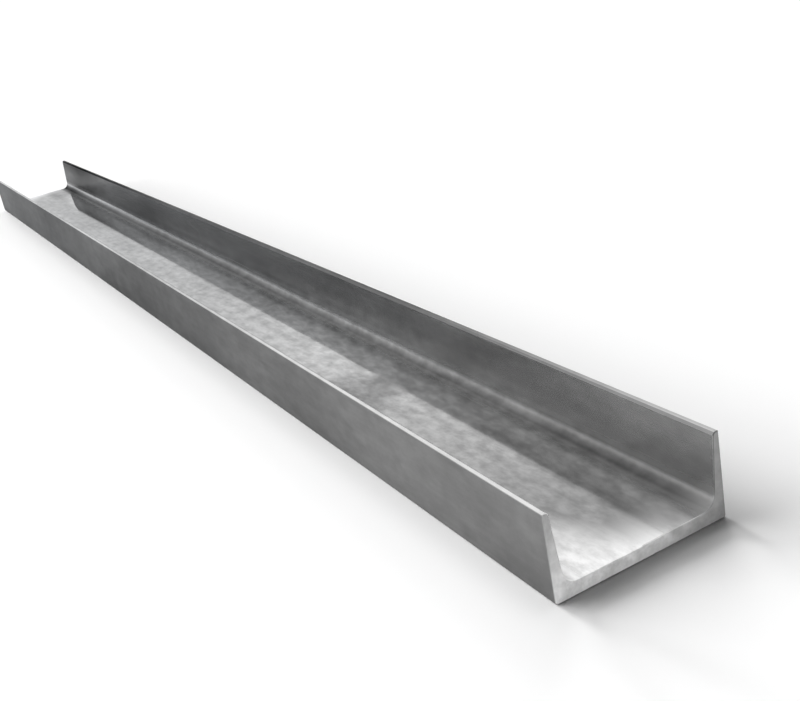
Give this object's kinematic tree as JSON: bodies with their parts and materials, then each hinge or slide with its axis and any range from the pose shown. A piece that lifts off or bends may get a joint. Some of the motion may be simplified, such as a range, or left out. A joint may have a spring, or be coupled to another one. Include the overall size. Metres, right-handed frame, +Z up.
{
  "type": "galvanized steel c-channel",
  "caption": "Straight cut length of hot-rolled steel channel with tapered flanges and rounded inside corners, galvanized, lying on its web with the trough facing up.",
  "frame": {"origin": "middle of the web's back, which is the face that the channel rests on", "axes": "+X along the length, +Y across the web, +Z up from the web's back to the open side of the trough"},
  "size_m": [1.3, 0.1, 0.046],
  "materials": {
    "galvanized_steel": "hot-dip galvanized rolled steel: a neutral grey zinc skin, cloudy and faintly streaked along the length, smooth enough to mirror the flange in the web"
  },
  "bodies": {
    "root": {"c_channel": "galvanized_steel"}
  },
  "joints": []
}
